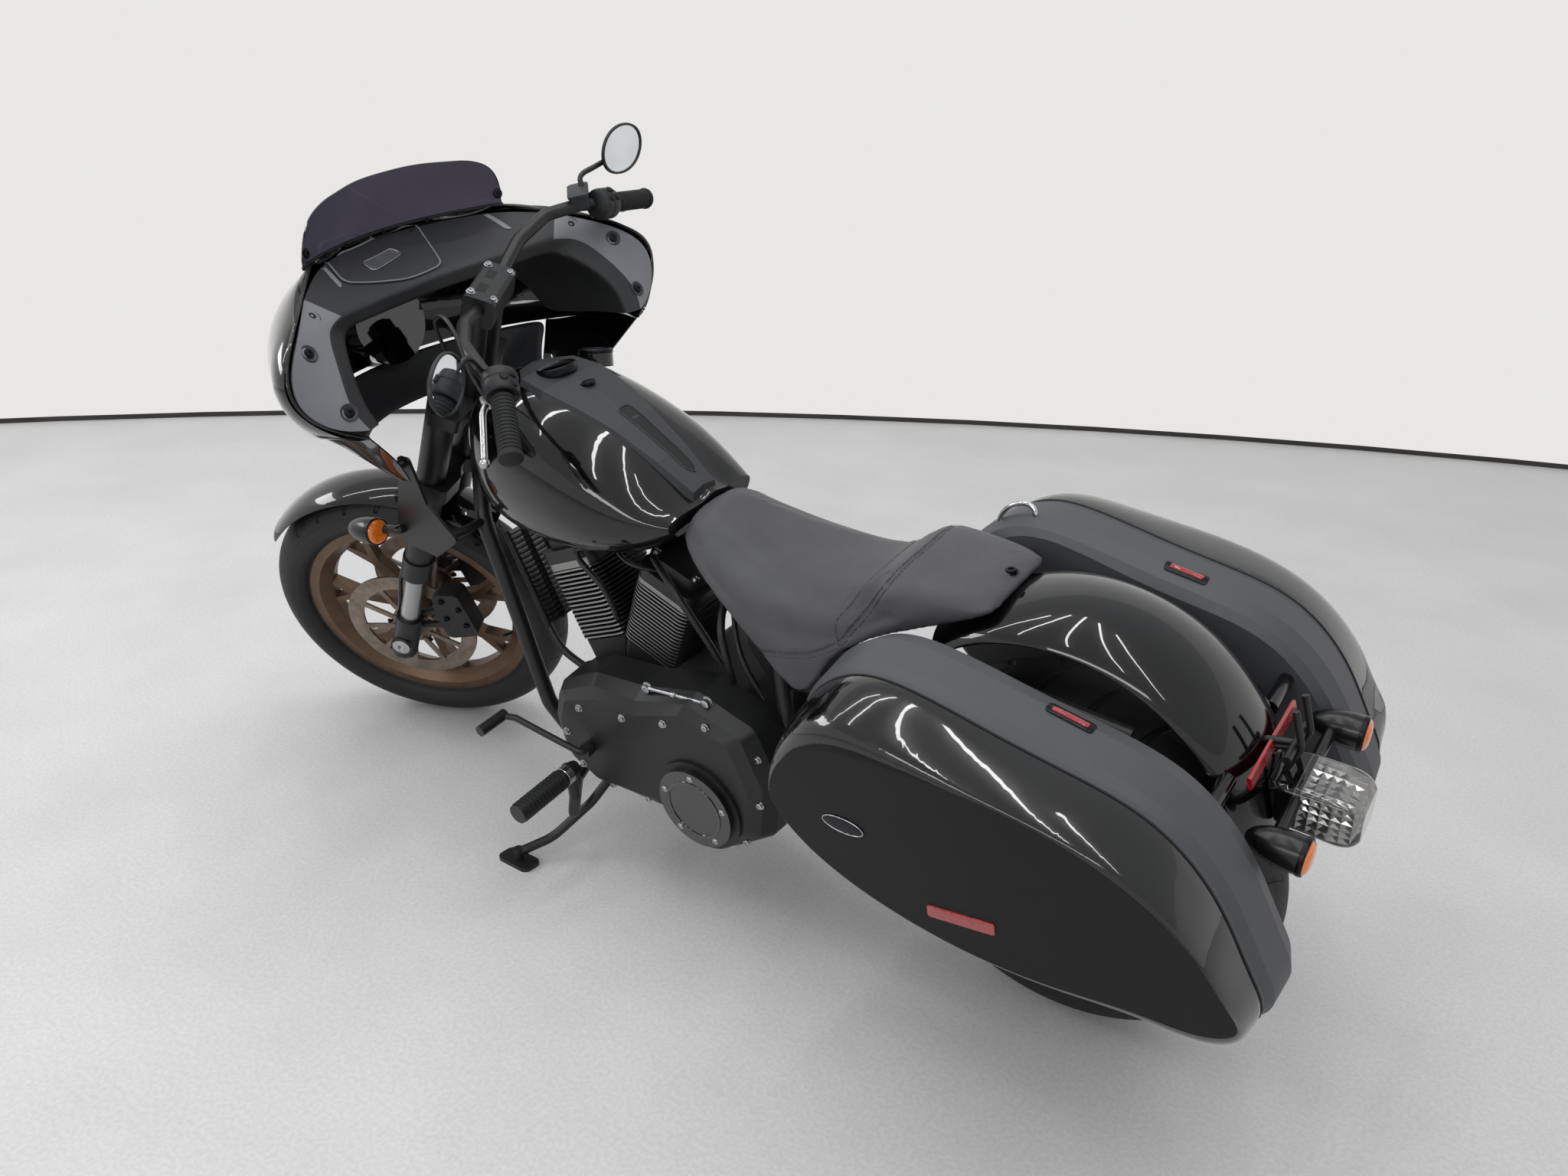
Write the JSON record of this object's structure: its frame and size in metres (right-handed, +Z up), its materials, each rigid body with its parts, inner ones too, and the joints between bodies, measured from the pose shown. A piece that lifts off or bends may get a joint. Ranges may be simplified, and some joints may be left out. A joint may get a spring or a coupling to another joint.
{
  "type": "touring cruiser motorcycle",
  "caption": "Touring cruiser motorcycle with a half fairing, hard saddlebags and a vee engine, leaning on its side stand with the steering turned left.",
  "frame": {"origin": "centre of the bounding box, on the floor", "axes": "+X forward, +Y to the rider's left, +Z up"},
  "size_m": [2.3369, 0.9854, 1.3816],
  "materials": {
    "gloss_black": "gloss",
    "matte_black": "matte",
    "painted_frame": "gloss",
    "cast_black": "matte",
    "bronze_wheel": "satin",
    "tyre_rubber": "matte",
    "steel_disc": "satin",
    "fork_metal": "satin",
    "silver_lever": "satin",
    "smoke_screen": "gloss",
    "lamp_glass": "gloss",
    "black_leather": "satin",
    "grip_rubber": "matte",
    "painted_tank": "gloss"
  },
  "bodies": {
    "chassis": {"frame": "painted_frame", "swingarm": "painted_frame", "rear_axle": "steel_disc", "engine_case": "cast_black", "cylinders": "cast_black", "rocker_covers": "cast_black", "primary_cover": "cast_black", "derby_cover": "cast_black", "exhausts": "painted_frame", "air_cleaner": "painted_frame", "fuel_tank": "painted_tank", "tank_console": "matte_black", "fuel_cap": "painted_tank", "seat": "black_leather", "rear_fender": "painted_tank", "bag_shell_left": "matte_black", "bag_shell_right": "matte_black", "fairing_shell": "gloss_black", "fairing_inner": "matte_black", "windshield": "smoke_screen", "fairing_brackets": "painted_frame", "front_signals": "gloss_black", "headlamp": "lamp_glass", "tail_light": "lamp_glass", "rear_signals": "gloss_black", "plate_bracket": "painted_frame", "tail_bar": "painted_frame", "drive_belt": "grip_rubber", "battery_box": "matte_black", "shift_lever": "painted_frame", "brake_pedal": "painted_frame", "foot_pegs": "painted_frame"},
    "steering": {"triple_clamps": "painted_frame", "fork_legs": "cast_black", "fork_sliders": "fork_metal", "front_axle": "steel_disc", "front_calipers": "cast_black", "front_fender": "painted_tank", "handlebar": "painted_frame", "handlebar_risers": "painted_frame", "grips": "grip_rubber", "bar_controls": "cast_black", "hand_levers": "silver_lever", "mirrors": "gloss_black", "clutch_cable": "grip_rubber"},
    "front_wheel": {"front_wheel": "bronze_wheel", "front_tyre": "tyre_rubber", "front_discs": "steel_disc"},
    "rear_wheel": {"rear_wheel": "bronze_wheel", "rear_tyre": "tyre_rubber", "rear_disc_and_pulley": "steel_disc"},
    "side_stand": {"side_stand": "painted_frame"},
    "bag_lid_left": {"bag_lid_left": "gloss_black"},
    "bag_lid_right": {"bag_lid_right": "gloss_black"}
  },
  "joints": [
    {"name": "steering", "type": "hinge", "parent": "chassis", "child": "steering", "pos_m": [0.59457, -0.00019, 0.75736], "axis": [-0.4631, 0.1533, 0.8729], "range_deg": [-56, 0]},
    {"name": "front_wheel_spin", "type": "hinge", "parent": "steering", "child": "front_wheel", "pos_m": [0.8564, -0.06181, 0.32056], "axis": [-0.4172, 0.8313, -0.3673], "continuous": true},
    {"name": "rear_wheel_spin", "type": "hinge", "parent": "chassis", "child": "rear_wheel", "pos_m": [-0.75534, -0.07803, 0.32575], "axis": [-0.0013, 0.9848, -0.1736], "continuous": true},
    {"name": "side_stand_fold", "type": "hinge", "parent": "chassis", "child": "side_stand", "pos_m": [0.17845, 0.02024, 0.15641], "axis": [-0.1502, 0.7628, 0.6289], "range_deg": [0, 96]},
    {"name": "bag_lid_left_hinge", "type": "hinge", "parent": "chassis", "child": "bag_lid_left", "pos_m": [-0.75541, 0.22511, 0.31647], "axis": [-1, 0, 0.0073], "range_deg": [0, 75]},
    {"name": "bag_lid_right_hinge", "type": "hinge", "parent": "chassis", "child": "bag_lid_right", "pos_m": [-0.75465, -0.36607, 0.42071], "axis": [1, 0, -0.0073], "range_deg": [0, 75]}
  ]
}
